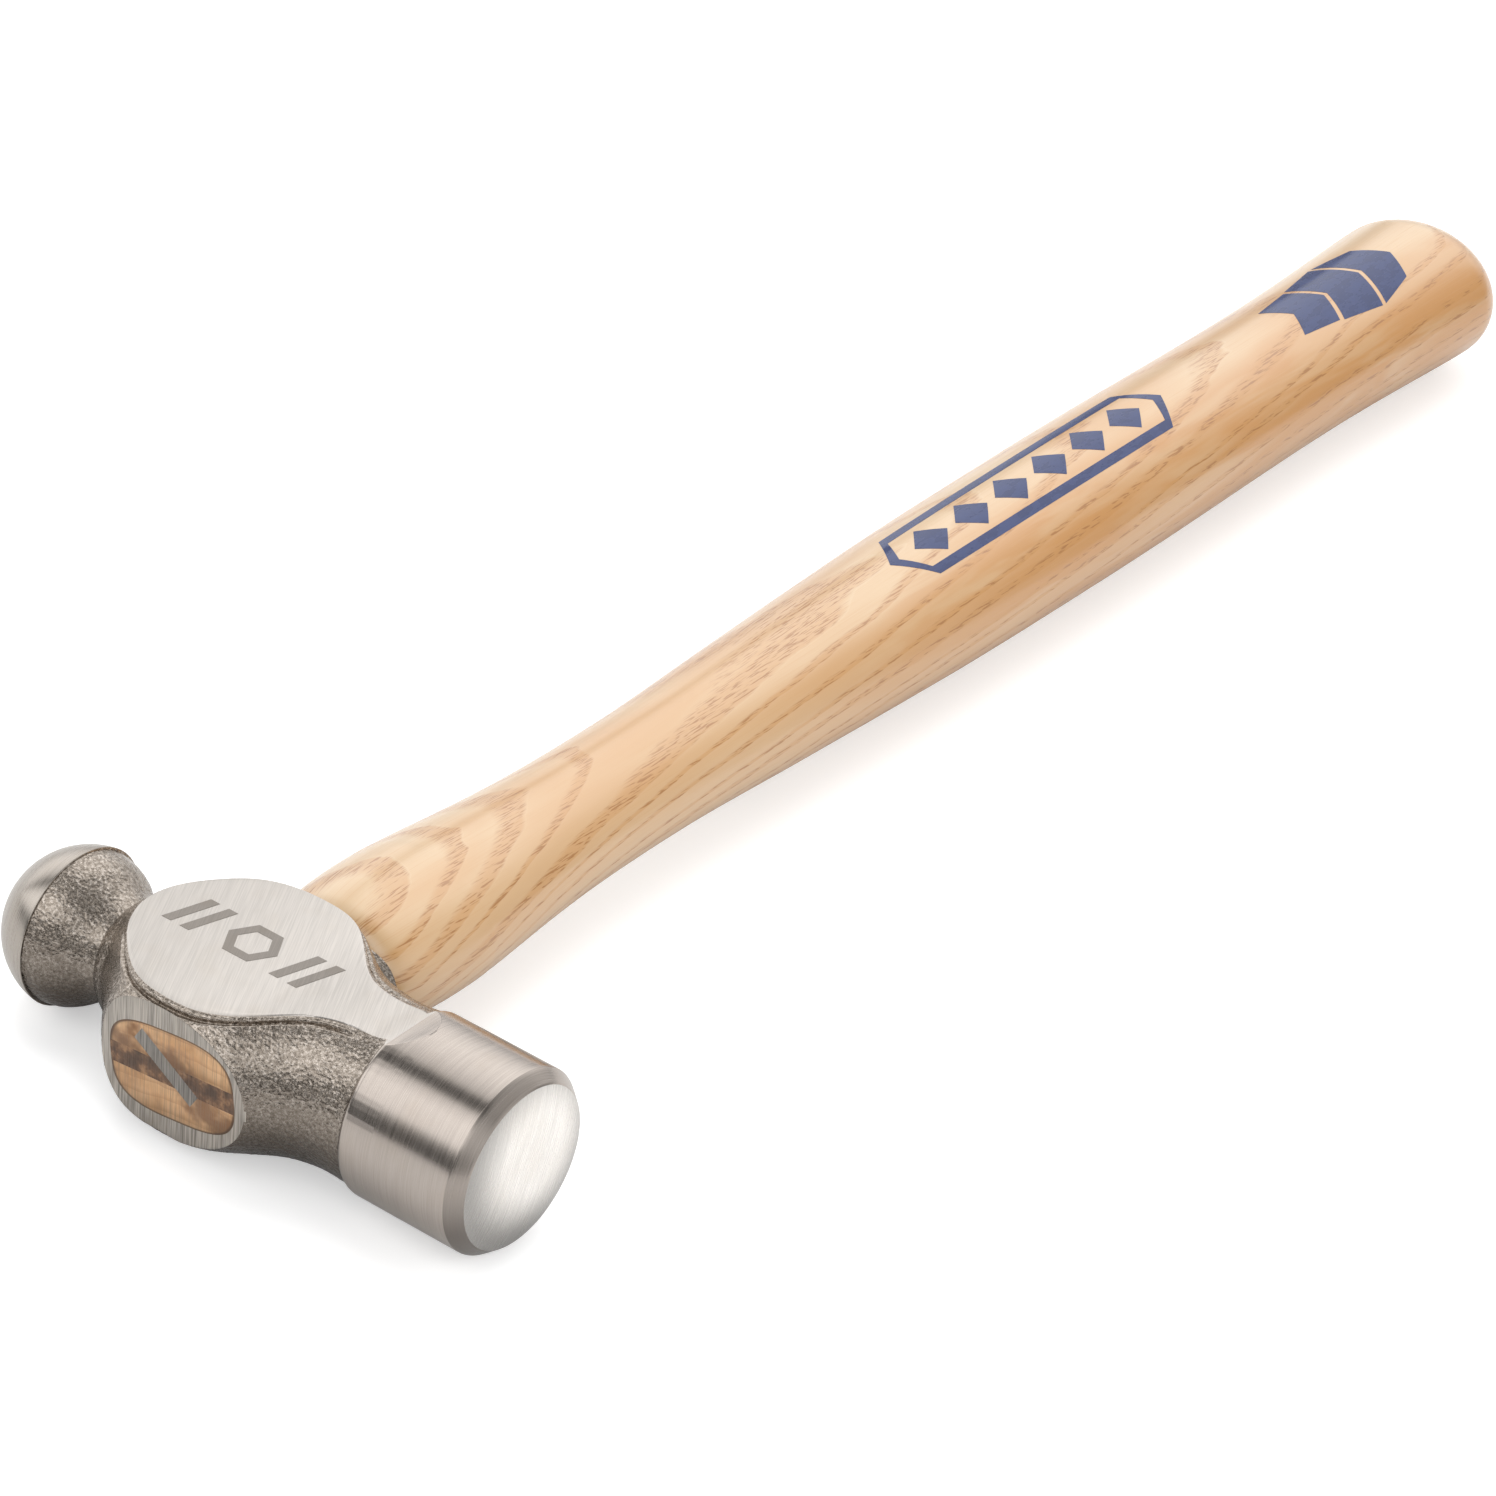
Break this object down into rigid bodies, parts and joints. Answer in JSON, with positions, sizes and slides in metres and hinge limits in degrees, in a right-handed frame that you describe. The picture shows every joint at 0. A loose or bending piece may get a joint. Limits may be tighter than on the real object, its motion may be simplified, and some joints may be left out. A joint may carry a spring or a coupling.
{
  "type": "ball-peen hammer",
  "caption": "Ball-peen hammer: forged steel head with a flat striking face and a ball peen on a wedged wooden handle.",
  "frame": {"origin": "centre of the lower cheek flat, where the handle's axis passes under the head", "axes": "+X along the head towards the flat striking face, +Y along the handle towards the butt, +Z out of the upper cheek flat"},
  "size_m": [0.0996, 0.3689, 0.03],
  "materials": {
    "head_steel": "dark forged skin, with brushed grinding on the ball, poll, cheeks and eye face",
    "handle_wood": "pale ash under clear satin lacquer",
    "wedge_wood": "dark hardwood, ground flush and smeared",
    "wedge_steel": "ground flush"
  },
  "bodies": {
    "root": {"hammer_head": "head_steel", "handle": "handle_wood", "wooden_wedge": "wedge_wood", "steel_wedge": "wedge_steel"}
  },
  "joints": []
}
